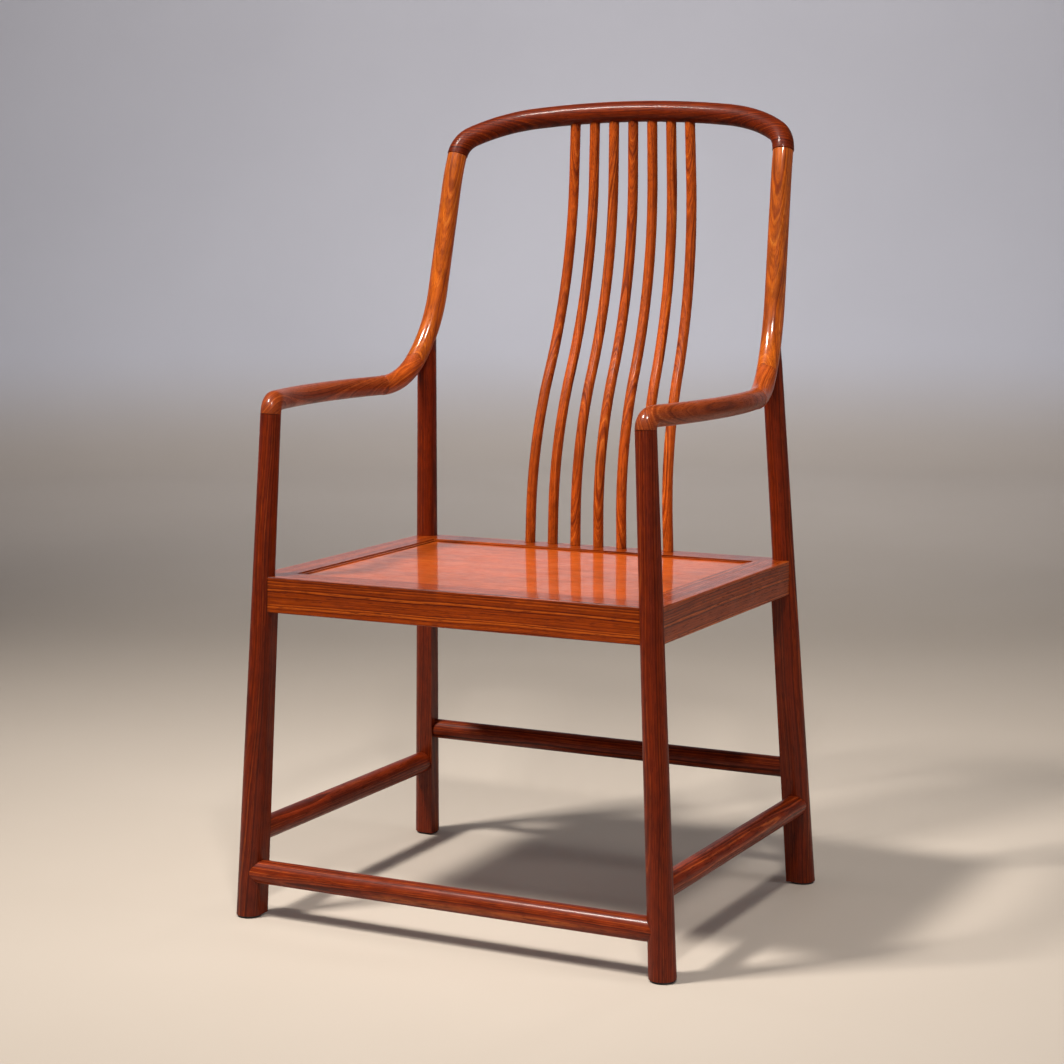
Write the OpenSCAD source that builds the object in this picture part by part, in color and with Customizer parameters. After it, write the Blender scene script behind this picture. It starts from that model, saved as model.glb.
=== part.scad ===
// Rosewood armchair in the Ming manner: round members, a floating seat panel and seven bent spindles.
// Millimetres. X runs left to right, the front faces -Y, and the feet stand on Z = 0.

/* [Stance] */
// Distance between the left and right leg centrelines at the floor
stance_w = 591; // [520:1:700]
// Distance between the front and rear leg centrelines at the floor
stance_d = 472; // [400:1:560]
// Diameter of a leg at the floor
foot_d = 34.4; // [30:0.1:42]
// Thickness of the black pad under each foot
pad_t = 3; // [2:0.5:6]
// How far a pad stays inside the foot's edge
pad_inset = 2; // [1:0.5:4]

/* [Seat] */
// Height of the seat frame's top
seat_h = 450; // [400:1:520]
// Thickness of the seat frame
frame_t = 46; // [36:1:60]
// Width of a seat rail, seen from above
rail_w = 48; // [40:1:60]
// How far the frame's sides stand outside the leg centrelines
frame_out_side = 12.5; // [10:0.5:18]
// How far the frame's front and back stand outside the leg centrelines
frame_out_front = 9; // [7:0.5:14]
// Chamfer on the rails' outer edges
rail_chamfer = 1; // [0.5:0.1:2]
// Width of the step along the frame's inner edge
step_w = 6; // [4:0.5:9]
// Depth of that step
step_d = 1.4; // [1:0.1:2]
// How far the panel lies below the frame's top
panel_drop = 2.6; // [2.2:0.1:5]
// Thickness of the seat panel
panel_t = 12; // [9:0.5:16]
// Thickness of the panel's tongue
tongue_t = 6; // [4:0.5:8]
// Length of the tongue inside the rails' groove
tongue_l = 6; // [4:0.5:9]
// Width of a batten under the panel
batten_w = 28; // [20:1:40]
// Height of a batten
batten_h = 24; // [16:1:28]
// Distance between the two battens
batten_pitch = 190; // [150:1:260]
// Depth of a batten's tenon in the rails
batten_tenon = 9; // [6:0.5:14]

/* [Stretchers] */
// Diameter of the front stretcher
front_stretcher_d = 31; // [24:0.5:33]
// Diameter of the side stretchers
side_stretcher_d = 30; // [24:0.5:32]
// Diameter of the rear stretcher
rear_stretcher_d = 27.5; // [22:0.5:30]
// Height of the front stretcher's centreline
front_stretcher_z = 61; // [45:1:80]
// Height of the side stretchers' centrelines
side_stretcher_z = 111; // [100:1:140]
// Height of the rear stretcher's centreline
rear_stretcher_z = 161; // [150:1:220]
// Height of a stretcher's tenon
tenon_h = 18; // [14:0.5:20]
// Thickness of a stretcher's tenon
tenon_t = 9; // [7:0.5:11]

/* [Arms] */
// Height of the arms' centrelines
arm_h = 673.5; // [620:0.5:740]
// Diameter of an arm, and of a leg where it meets the arm
arm_d = 26.5; // [24:0.1:30]
// Distance between the arms' centrelines at the front
arm_front_w = 530; // [480:1:600]
// Distance between the arms' centrelines at the elbows
arm_back_w = 556; // [510:1:620]
// Where an arm's bow starts, measured back from the front foot
arm_front_y = 34; // [20:1:60]
// Where an elbow starts, measured back from the front foot
arm_back_y = 325; // [270:1:370]
// Angle at which the arms turn in towards the back
toe_in = 10.5; // [5:0.5:13]
// Inner radius of the arm's turned-down front corner
arm_corner_in = 1.8; // [1:0.1:8]

/* [Back] */
// Diameter of an elbow and of a stile
stile_d = 27.5; // [26:0.1:32]
// Centreline radius of the elbow's bend
elbow_r = 97; // [75:1:110]
// Angle through which the elbow turns up
elbow_sweep = 47; // [43:1:50]
// Radius of the stile's lower curve
stile_low_r = 208; // [180:1:250]
// Angle of that curve
stile_low_sweep = 30.5; // [26:0.5:33]
// Straight length of a stile
stile_straight = 148; // [100:1:200]
// Radius of the curve that takes a stile's top backwards
stile_top_r = 324; // [260:1:400]
// Angle of that curve
stile_top_sweep = 8.5; // [6:0.5:14]
// Diameter of the crest rail
crest_d = 29; // [27:0.1:34]
// Inner radius of the crest rail's corners
crest_corner_in = 26; // [6:0.5:36]
// Radius of the crest rail's shoulders
crest_shoulder_r = 170; // [120:5:220]
// Angle of a shoulder
crest_shoulder_sweep = 32; // [20:0.5:38]
// Half of the angle that the crest rail's middle arc spans
crest_sweep = 10; // [5:0.5:18]
// Slope of the crest rail's bow: 0 bows straight back and 90 arches straight up
crest_tilt = 36.5; // [20:0.5:45]
// How far along its lower curve the stile meets the rear leg, in degrees
leg_meet = 12; // [10:0.5:15]

/* [Spindles] */
// Diameter of a spindle
spindle_d = 14.4; // [12:0.2:17]
// Distance between spindles at the seat
spindle_pitch = 35.4; // [30:0.2:40]
// Distance between spindles at the crest rail
spindle_top_pitch = 29.1; // [26:0.1:36]
// Distance from the rear rail's back face to the spindles' centrelines
spindle_inset = 10; // [9.5:0.5:16]
// Straight length at a spindle's foot
spindle_foot = 40; // [30:1:80]
// Straight length at a spindle's top
spindle_head = 88; // [40:1:120]
// Share of the curve that the lower bend takes
spindle_low_share = 0.42; // [0.35:0.01:0.6]
// Depth of a spindle's tenon in the seat rail
spindle_tenon = 14; // [10:1:20]

/* [Joints] */
// Diameter of the round tenons on the spindles
pin_d = 9; // [7:0.5:10]
// Diameter of the round tenons in the legs, elbows and stiles
peg_d = 11; // [9:0.5:13]
// Length of those tenons
peg_l = 10; // [8:0.5:12]
// Clearance around a tenon in its mortise
gap = 0.15; // [0.1:0.05:0.3]

/* [Hidden] */

// Smoothness of round sections, and of long arcs
round_fn = 72;
arc_fn = 256;

// Gap between two stretches of one bar
hairline = 0.02;

dark_wood = "#5A1E10";
red_wood = "#7A2C14";
orange_wood = "#A04A1C";
seat_wood = "#A8502A";
pad_black = "#141312";

// ---- Points and directions. Everything is worked out for the right side and mirrored for the left.

up = [0, 0, 1];
right = [1, 0, 0];
back = [0, 1, 0];

function unit(v) = v / norm(v);
function turned(p, heading) = [sin(heading), cos(heading), 0] * p;

// Where an arc ends, and its direction and inward normal there.
// It starts at p in direction d, and bends towards n with radius r through angle a.
function arc_end(p, d, n, r, a) = p + n * r * (1 - cos(a)) + d * r * sin(a);
function arc_dir(d, n, a) = d * cos(a) + n * sin(a);
function arc_normal(d, n, a) = n * cos(a) - d * sin(a);

foot_r = foot_d / 2;
arm_r = arm_d / 2;
stile_r = stile_d / 2;
crest_r = crest_d / 2;

front_foot = [stance_w / 2, 0, 0];
rear_foot = [stance_w / 2, stance_d, 0];

// Arm: an arc in plan from arm_start to arm_end
arm_start = [arm_front_w / 2, arm_front_y, arm_h];
arm_end = [arm_back_w / 2, arm_back_y, arm_h];
arm_chord = norm(arm_end - arm_start);
chord_out = atan2(arm_end.x - arm_start.x, arm_end.y - arm_start.y);
arm_turn = 2 * (chord_out + toe_in);
arm_bow_r = arm_chord / (2 * sin(arm_turn / 2));
arm_dir = turned(1, arm_turn - toe_in);
arm_side = [-arm_dir.y, arm_dir.x, 0];

// Front corner: the arm's centreline meets the leg's at arm_corner, and a bend rounds the corner
corner_run = arm_r + arm_corner_in;
arm_corner = arm_start - arm_dir * corner_run;
front_lean = unit(arm_corner - front_foot);
front_top = arm_corner - front_lean * corner_run;
front_turn = acos(front_lean * arm_dir);
front_bend_r = corner_run / tan(front_turn / 2);
front_bend_n = unit(arm_dir - front_lean * (front_lean * arm_dir));

// Elbow and stile: one curve in an upright plane that is turned in by toe_in
run_dir = turned(1, -toe_in);
elbow_top = arc_end(arm_end, run_dir, up, elbow_r, elbow_sweep);
elbow_top_dir = arc_dir(run_dir, up, elbow_sweep);
elbow_top_n = arc_normal(run_dir, up, elbow_sweep);
low_end = arc_end(elbow_top, elbow_top_dir, elbow_top_n, stile_low_r, stile_low_sweep);
rise_dir = arc_dir(elbow_top_dir, elbow_top_n, stile_low_sweep);
rise_n = arc_normal(elbow_top_dir, elbow_top_n, stile_low_sweep);
rise_end = low_end + rise_dir * stile_straight;
stile_top = arc_end(rise_end, rise_dir, -rise_n, stile_top_r, stile_top_sweep);
stile_top_dir = arc_dir(rise_dir, -rise_n, stile_top_sweep);

// Rear leg: from the floor to a point on the stile
rear_top = arc_end(elbow_top, elbow_top_dir, elbow_top_n, stile_low_r, leg_meet);
rear_lean = unit(rear_top - rear_foot);

// Crest rail: in a sloping plane, a shoulder, a flatter middle arc and a shoulder, with a corner bend
// at each end that turns down into the stile
crest_rise = [0, cos(crest_tilt), sin(crest_tilt)];
shoulder_steep = crest_sweep + crest_shoulder_sweep;
crest_dir = -right * cos(shoulder_steep) + crest_rise * sin(shoulder_steep);
shoulder_n = -right * sin(shoulder_steep) - crest_rise * cos(shoulder_steep);
crest_turn = acos(stile_top_dir * crest_dir);
crest_corner_r = crest_r + crest_corner_in;
crest_corner_n = unit(crest_dir - stile_top_dir * (stile_top_dir * crest_dir));
shoulder_start = arc_end(stile_top, stile_top_dir, crest_corner_n, crest_corner_r, crest_turn);
crest_start = arc_end(shoulder_start, crest_dir, shoulder_n, crest_shoulder_r, crest_shoulder_sweep);
crest_bow_r = crest_start.x / sin(crest_sweep);
bow_dir = arc_dir(crest_dir, shoulder_n, crest_shoulder_sweep);
bow_n = arc_normal(crest_dir, shoulder_n, crest_shoulder_sweep);
crest_sag = crest_bow_r * (1 - cos(crest_sweep));
crest_mid = [0, crest_start.y, crest_start.z] + crest_rise * crest_sag;
function crest_at(x) = [x, crest_mid.y, crest_mid.z]
  - crest_rise * (crest_bow_r - sqrt(crest_bow_r * crest_bow_r - x * x));

// Legs taper evenly along their length
front_len = norm(front_top - front_foot);
rear_len = norm(rear_top - rear_foot);
function front_axis(z) = front_foot + front_lean * (z / front_lean.z);
function rear_axis(z) = rear_foot + rear_lean * (z / rear_lean.z);

// Seat frame outline, from the leg centrelines at seat height
seat_x = (front_axis(seat_h).x + rear_axis(seat_h).x) / 2 + frame_out_side;
seat_y0 = front_axis(seat_h).y - frame_out_front;
seat_y1 = rear_axis(seat_h).y + frame_out_front;
frame_z = seat_h - frame_t;
panel_top = seat_h - panel_drop;
panel_z = panel_top - panel_t;
batten_z = panel_z - batten_h;
tenon_stop = 3;

spindle_count = 7;
spindle_y = seat_y1 - spindle_inset;
function spindle_low(i) = [i * spindle_pitch, spindle_y, seat_h];
function spindle_high(i) = crest_at(i * spindle_top_pitch);

// The finished chair is centred on the origin in plan
back_most = crest_mid.y + crest_r;
front_most = front_axis(pad_t).y - foot_r;
mid_y = (back_most + front_most) / 2;

// ---- Building blocks

// Puts its children at p, with their X and Y along two given directions.
module framed(p, x, y) {
  z = cross(x, y);
  multmatrix([
    [x.x, y.x, z.x, p.x],
    [x.y, y.y, z.y, p.y],
    [x.z, y.z, z.z, p.z],
    [0, 0, 0, 1]
  ]) children();
}

// Puts its children at p, with their Z along d.
module along(p, d) {
  x = unit(cross(d, [0.31, 0.17, 0.94] - d * 0.5));
  framed(p, x, cross(d, x)) children();
}

// A straight round bar from a to b.
module bar(a, b, r) {
  along(a, unit(b - a)) cylinder(h = norm(b - a), r = r, $fn = round_fn);
}

// A round bar bent on an arc: see arc_end for the arguments.
module bend(p, d, n, arc_r, a, r) {
  framed(p + n * arc_r, -n, d)
    rotate_extrude(angle = a, $fn = arc_fn)
      translate([arc_r, 0]) circle(r = r, $fn = round_fn);
}

// A bar or a bend that another stretch of the same piece follows. It stops a hairline short of p, the
// point where they meet, and a ball inside both of them joins the two.
module bar_on(a, b, r) {
  bar(a, b - unit(b - a) * hairline, r);
  knuckle(b, unit(b - a), r);
}

module bend_on(p, d, n, arc_r, a, r) {
  bend(p, d, n, arc_r, a - hairline * 180 / (PI * arc_r), r);
  knuckle(arc_end(p, d, n, arc_r, a), arc_dir(d, n, a), r);
}

module knuckle(p, d, r) {
  along(p, d) sphere(r = r - 0.05, $fn = round_fn);
}

// Moves the chair's own plan origin, between the front feet, to the part's origin.
module placed() {
  translate([0, -mid_y, 0]) children();
}

// Shows its children on the right, or mirrored on the left.
module on_side(left) {
  placed() if (left) mirror([1, 0, 0]) children(); else children();
}

// Everything between two heights, over the whole plan of the chair.
module level(z0, z1) {
  translate([-stance_w, -stance_d, z0]) cube([2 * stance_w, 3 * stance_d, z1 - z0]);
}

// ---- Tubes that other pieces are fitted against

module arm_tube() {
  bend_on(front_top, front_lean, front_bend_n, front_bend_r, front_turn, arm_r);
  bend(arm_start, arm_dir, arm_side, arm_bow_r, arm_turn, arm_r);
}

module elbow_tube() {
  bend(arm_end, run_dir, up, elbow_r, elbow_sweep, stile_r);
}

// The stile's lower curve, which can start early, on the elbow's side, to cut a leg to shape.
module stile_low(early = 0) {
  start = arc_end(elbow_top, elbow_top_dir, elbow_top_n, stile_low_r, -early);
  dir = arc_dir(elbow_top_dir, elbow_top_n, -early);
  n = arc_normal(elbow_top_dir, elbow_top_n, -early);
  if (early > 0)
    bend(start, dir, n, stile_low_r, early + stile_low_sweep, stile_r);
  else
    bend_on(start, dir, n, stile_low_r, stile_low_sweep, stile_r);
}

module stile_tube() {
  stile_low();
  bar_on(low_end, rise_end, stile_r);
  bend(rise_end, rise_dir, -rise_n, stile_top_r, stile_top_sweep, stile_r);
}

module crest_arc() {
  bend(crest_start, bow_dir, bow_n, crest_bow_r, 2 * crest_sweep, crest_r);
}

module crest_shoulder() {
  bend_on(shoulder_start, crest_dir, shoulder_n, crest_shoulder_r, crest_shoulder_sweep, crest_r);
}

module crest_corner() {
  bend_on(stile_top, stile_top_dir, crest_corner_n, crest_corner_r, crest_turn, crest_r);
}

// ---- Tenons. Each takes grow, which is 0 for the tenon and the clearance for its mortise.

// A round tenon that sticks out of p along d.
module peg(p, d, grow = 0) {
  bar(p - d * 1, p + d * (peg_l + grow), peg_d / 2 + grow);
}

// The rear leg's round tenon, which reaches the stile's centreline.
module rear_peg(grow = 0) {
  bar(rear_top - rear_lean * 3 * stile_r, rear_top + rear_lean * grow, peg_d / 2 + grow);
}

// A flat tenon on a stretcher whose centreline runs from a, in one leg, to b, in the other.
module stretcher_tenon(a, b, grow = 0) {
  dir = unit(b - a);
  from = tenon_stop - grow;
  framed(a, dir, cross(up, dir))
    translate([from, -tenon_t / 2 - grow, -tenon_h / 2 - grow])
      cube([foot_r * 1.5 + 3 - from, tenon_t + 2 * grow, tenon_h + 2 * grow]);
}

// ---- Legs

// A leg's tapered round body, from below the floor to len, or further for a leg that is cut later.
module leg_round(foot, lean, len, over) {
  slope = (foot_r - arm_r) / len;
  sunk = 20;
  along(foot - lean * sunk, lean)
    cylinder(h = sunk + len + over, r1 = foot_r + slope * sunk, r2 = arm_r - slope * over, $fn = round_fn);
}

// The square inner corner of a leg below the seat. It tapers with the leg: each outer face is one
// side of a tilted block. sy is 1 for a front leg and -1 for a rear leg.
module leg_square(foot, lean, len, sy) {
  tilt = atan((foot_r - arm_r) / len);
  flat = foot_r - 0.15;
  width = flat - 1.3;
  sunk = 20;
  tall = seat_h + 2 * sunk;
  side = unit(cross(back, lean));
  framed(foot, side, cross(lean, side)) intersection() {
    translate([-flat, 0, 0])
        rotate([0, tilt, 0]) translate([0, -foot_r, -sunk]) cube([width, 2 * foot_r, tall]);
    translate([0, sy * flat, 0]) rotate([sy * tilt, 0, 0])
      translate([-foot_r, sy > 0 ? -width : 0, -sunk]) cube([2 * foot_r, width, tall]);
  }
}

// Outer half round, inner half square up to the seat frame, and round above it.
module leg_body(foot, lean, len, over, sy, top) {
  intersection() {
    union() {
      leg_round(foot, lean, len, over);
      intersection() {
        leg_square(foot, lean, len, sy);
        level(-foot_r, frame_z);
      }
    }
    level(pad_t, top);
  }
}

module front_leg_body() {
  leg_body(front_foot, front_lean, front_len, 0, 1, arm_h);
}

module rear_leg_body() {
  leg_body(rear_foot, rear_lean, rear_len, stile_r, -1, rear_top.z);
}

module both_sides() {
  children();
  mirror([1, 0, 0]) children();
}

module front_leg() {
  color(dark_wood) union() {
    difference() {
      front_leg_body();
      stretcher_tenon(front_axis(front_stretcher_z), mirrored(front_axis(front_stretcher_z)), gap);
      stretcher_tenon(front_axis(side_stretcher_z), rear_axis(side_stretcher_z), gap);
    }
    peg(front_top, front_lean);
  }
}

module rear_leg() {
  color(dark_wood) union() {
    difference() {
      rear_leg_body();
      stile_low(6);
      stretcher_tenon(rear_axis(rear_stretcher_z), mirrored(rear_axis(rear_stretcher_z)), gap);
      stretcher_tenon(rear_axis(side_stretcher_z), front_axis(side_stretcher_z), gap);
    }
    rear_peg();
  }
}

function mirrored(p) = [-p.x, p.y, p.z];

module foot_pad(p) {
  color(pad_black) translate([p.x, p.y, 0]) cylinder(h = pad_t, r = foot_r - pad_inset, $fn = round_fn);
}

// ---- Stretchers

// A round bar between the centrelines of two legs, cut to their surfaces, with a tenon at each end.
module stretcher(a, b, r) {
  difference() {
    bar(a, b, r);
    children();
  }
  stretcher_tenon(a, b);
  stretcher_tenon(b, a);
}

module cross_stretcher(p, r) {
  color(red_wood) stretcher(p, mirrored(p), r) both_sides() children();
}

module side_stretcher() {
  color(red_wood)
    stretcher(front_axis(side_stretcher_z), rear_axis(side_stretcher_z), side_stretcher_d / 2) {
      front_leg_body();
      rear_leg_body();
    }
}

// ---- Seat frame

// A rail's section: X runs inwards from its outer face, and Y upwards from its underside.
module rail_section() {
  groove_x = rail_w - tongue_l - 0.5;
  groove_y = panel_z - frame_z;
  c = rail_chamfer;
  polygon([
    [c, 0], [rail_w, 0],
    [rail_w, groove_y], [groove_x, groove_y],
    [groove_x, groove_y + tongue_t + gap], [rail_w, groove_y + tongue_t + gap],
    [rail_w, frame_t - step_d], [rail_w - step_w, frame_t - step_d],
    [rail_w - step_w, frame_t], [c, frame_t],
    [0, frame_t - c], [0, c]
  ]);
}

// The frame's outer corner at a leg, which is cut away so that the leg's round side shows.
module corner_cut(axis, sy) {
  y = sy > 0 ? axis.y - 3 * frame_out_front : axis.y;
  translate([axis.x, y, frame_z - 1]) cube([3 * frame_out_side, 3 * frame_out_front, frame_t + 2]);
}

module front_corner() {
  front_leg_body();
  corner_cut(front_axis(seat_h - frame_t / 2), 1);
}

module rear_corner() {
  rear_leg_body();
  corner_cut(rear_axis(seat_h - frame_t / 2), -1);
}

// A rail of a given length in its own frame: it starts at the origin and runs along Z, mitred at both
// ends towards its inner edge.
module rail(length) {
  intersection() {
    linear_extrude(length) rail_section();
    rotate([90, 0, 0]) translate([0, 0, -frame_t - 1])
      linear_extrude(frame_t + 2) polygon([[0, 0], [rail_w, rail_w], [rail_w, length - rail_w], [0, length]]);
  }
}

module batten_body(grow = 0) {
  wide = 0.6 * batten_w + 2 * grow;
  high = 0.6 * batten_h + 2 * grow;
  x = batten_pitch / 2;
  inner0 = seat_y0 + rail_w;
  inner1 = seat_y1 - rail_w;
  if (grow == 0) translate([x - batten_w / 2, inner0, batten_z]) cube([batten_w, inner1 - inner0, batten_h]);
  translate([x - wide / 2, inner0 - batten_tenon - grow, batten_z + (batten_h - high) / 2])
    cube([wide, inner1 - inner0 + 2 * (batten_tenon + grow), high]);
}

module rail_front() {
  color(orange_wood) difference() {
    framed([-seat_x, seat_y0, frame_z], back, up) rail(2 * seat_x);
    both_sides() front_corner();
    both_sides() batten_body(gap);
  }
}

module rail_rear() {
  color(orange_wood) difference() {
    framed([seat_x, seat_y1, frame_z], -back, up) rail(2 * seat_x);
    both_sides() rear_corner();
    both_sides() batten_body(gap);
    for (i = [-3:3]) seat_pin(i, gap);
  }
}

module rail_side() {
  color(red_wood) difference() {
    framed([seat_x, seat_y0, frame_z], -right, up) rail(seat_y1 - seat_y0);
    front_corner();
    rear_corner();
  }
}

module seat_panel() {
  slack = 0.6;
  x = seat_x - rail_w - slack;
  y0 = seat_y0 + rail_w + slack;
  y1 = seat_y1 - rail_w - slack;
  placed() color(seat_wood) union() {
    translate([-x, y0, panel_z]) cube([2 * x, y1 - y0, panel_t]);
    translate([-x - tongue_l, y0 - tongue_l, panel_z])
      cube([2 * (x + tongue_l), y1 - y0 + 2 * tongue_l, tongue_t]);
  }
}

// ---- Arms, elbows, stiles and crest rail

module arm() {
  color(red_wood) difference() {
    arm_tube();
    peg(front_top, front_lean, gap);
    peg(arm_end, -run_dir, gap);
  }
}

module elbow() {
  color(red_wood) union() {
    elbow_tube();
    peg(arm_end, -run_dir);
    peg(elbow_top, elbow_top_dir);
  }
}

module stile() {
  color(orange_wood) union() {
    difference() {
      stile_tube();
      peg(elbow_top, elbow_top_dir, gap);
      rear_peg(gap);
    }
    peg(stile_top, stile_top_dir);
  }
}

module crest_rail() {
  placed() color(dark_wood) difference() {
    union() {
      crest_arc();
      both_sides() crest_shoulder();
      both_sides() crest_corner();
    }
    both_sides() peg(stile_top, stile_top_dir, gap);
    for (i = [-3:3]) crest_pin(i, gap);
  }
}

// ---- Spindles. Spindle i stands i pitches from the middle, and leans towards it.

function spindle_up(i) =
    unit([spindle_high(i).x - spindle_low(i).x, 0, spindle_high(i).z - spindle_low(i).z]);

module seat_pin(i, grow = 0) {
  u = spindle_up(i);
  bar(spindle_low(i) - u * (spindle_tenon + grow), spindle_low(i) + u, pin_d / 2 + grow);
}

module crest_pin(i, grow = 0) {
  u = spindle_up(i);
  bar(spindle_high(i) - u * (crest_r + 2), spindle_high(i) + u * grow, pin_d / 2 + grow);
}

// Straight, bent back, bent upright again, straight: the two bends turn through the same angle.
module spindle_tube(i) {
  a = spindle_low(i);
  b = spindle_high(i);
  u = spindle_up(i);
  rise = (b - a) * u - spindle_foot - spindle_head;
  turn = 2 * atan2(b.y - a.y, rise);
  low_r = spindle_low_share * rise / sin(turn);
  high_r = (1 - spindle_low_share) * rise / sin(turn);
  p = a + u * spindle_foot;
  q = arc_end(p, u, back, low_r, turn);
  q_dir = arc_dir(u, back, turn);
  q_n = arc_normal(u, back, turn);
  bar_on(a - u * 2, p, spindle_d / 2);
  bend_on(p, u, back, low_r, turn, spindle_d / 2);
  bend_on(q, q_dir, -q_n, high_r, turn, spindle_d / 2);
  bar(b - u * spindle_head, b, spindle_d / 2);
}

module spindle(i) {
  placed() color(orange_wood) union() {
    difference() {
      spindle_tube(i);
      level(frame_z, seat_h);
      crest_arc();
    }
    seat_pin(i);
    crest_pin(i);
  }
}

// ---- The pieces

crest_rail();
on_side(true) stile();  // stile_left
on_side(false) stile();  // stile_right
on_side(true) elbow();  // elbow_left
on_side(false) elbow();  // elbow_right
on_side(true) arm();  // arm_left
on_side(false) arm();  // arm_right
on_side(true) front_leg();  // front_leg_left
on_side(false) front_leg();  // front_leg_right
on_side(true) rear_leg();  // rear_leg_left
on_side(false) rear_leg();  // rear_leg_right
spindle(-3);  // spindle_1
spindle(-2);  // spindle_2
spindle(-1);  // spindle_3
spindle(0);  // spindle_4
spindle(1);  // spindle_5
spindle(2);  // spindle_6
spindle(3);  // spindle_7
placed() rail_front();  // seat_rail_front
placed() rail_rear();  // seat_rail_rear
on_side(true) rail_side();  // seat_rail_left
on_side(false) rail_side();  // seat_rail_right
seat_panel();
on_side(true) color(red_wood) batten_body();  // seat_batten_left
on_side(false) color(red_wood) batten_body();  // seat_batten_right
placed() cross_stretcher(front_axis(front_stretcher_z), front_stretcher_d / 2) front_leg_body();  // front_stretcher
placed() cross_stretcher(rear_axis(rear_stretcher_z), rear_stretcher_d / 2) rear_leg_body();  // rear_stretcher
on_side(true) side_stretcher();  // side_stretcher_left
on_side(false) side_stretcher();  // side_stretcher_right
on_side(true) foot_pad(front_axis(pad_t));  // foot_pad_front_left
on_side(false) foot_pad(front_axis(pad_t));  // foot_pad_front_right
on_side(true) foot_pad(rear_axis(pad_t));  // foot_pad_rear_left
on_side(false) foot_pad(rear_axis(pad_t));  // foot_pad_rear_right
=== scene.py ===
"""Rosewood armchair in the Ming manner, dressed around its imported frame.

The frame holds every piece of the chair at its true size. Here the bent round bars (crest rail, stiles,
elbows, arms and the seven spindles) are swept again as finished bars with eased ends and tenons, every
piece gets its own cut of lacquered rosewood, and the chair is set on a pale studio floor.
Lengths are metres, angles are degrees, and the frame's axes hold: X left to right, the front faces -Y.
"""

import logging
import math
from dataclasses import dataclass, field
from enum import Enum

import bpy
from mathutils import Matrix, Quaternion, Vector


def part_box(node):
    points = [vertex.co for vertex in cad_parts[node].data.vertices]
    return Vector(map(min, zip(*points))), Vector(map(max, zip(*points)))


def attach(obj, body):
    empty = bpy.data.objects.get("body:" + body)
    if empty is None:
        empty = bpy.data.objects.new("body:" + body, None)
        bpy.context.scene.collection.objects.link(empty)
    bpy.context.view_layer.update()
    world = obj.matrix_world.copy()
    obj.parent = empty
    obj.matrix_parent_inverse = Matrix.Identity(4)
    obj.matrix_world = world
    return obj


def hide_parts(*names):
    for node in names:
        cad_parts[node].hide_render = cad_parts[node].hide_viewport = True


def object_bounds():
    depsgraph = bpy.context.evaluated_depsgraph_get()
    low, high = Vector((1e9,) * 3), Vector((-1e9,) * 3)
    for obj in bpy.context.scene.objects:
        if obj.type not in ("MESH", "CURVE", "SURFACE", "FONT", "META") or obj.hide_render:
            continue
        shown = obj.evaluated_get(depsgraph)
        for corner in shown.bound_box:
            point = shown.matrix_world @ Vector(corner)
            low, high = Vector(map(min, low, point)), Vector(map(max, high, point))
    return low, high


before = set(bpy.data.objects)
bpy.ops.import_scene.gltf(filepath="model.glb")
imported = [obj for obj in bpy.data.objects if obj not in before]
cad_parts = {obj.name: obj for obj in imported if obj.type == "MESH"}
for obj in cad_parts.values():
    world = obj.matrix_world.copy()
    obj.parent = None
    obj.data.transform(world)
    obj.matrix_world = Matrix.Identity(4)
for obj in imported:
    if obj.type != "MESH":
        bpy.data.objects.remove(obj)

CAD_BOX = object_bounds()
BODY = "root"
MM = 0.001
# From the middle of the chair's box to the point that the camera and the lamps aim at
AIM_OFFSET = (-0.0325, 0.0, -0.0436)

LOG = logging.getLogger("armchair")

UP = Vector((0.0, 0.0, 1.0))
RIGHT = Vector((1.0, 0.0, 0.0))
BACK = Vector((0.0, 1.0, 0.0))

Colour = tuple[float, float, float]
Place = tuple[float, float, float]
Edge = tuple[float, float]


def sin_of(angle: float) -> float:
    """Sine of an angle in degrees."""
    return math.sin(math.radians(angle))


def cos_of(angle: float) -> float:
    """Cosine of an angle in degrees."""
    return math.cos(math.radians(angle))


class Side(Enum):
    """Which side of the chair a paired piece is on, as the sign of its X."""

    LEFT = -1
    RIGHT = 1

    @property
    def word(self) -> str:
        """The side as piece names spell it."""
        return self.name.lower()


class Grain(Enum):
    """The way a straight piece's grain runs."""

    ACROSS = RIGHT
    FORWARD = BACK


# ---- Paths of the bent bars


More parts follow.
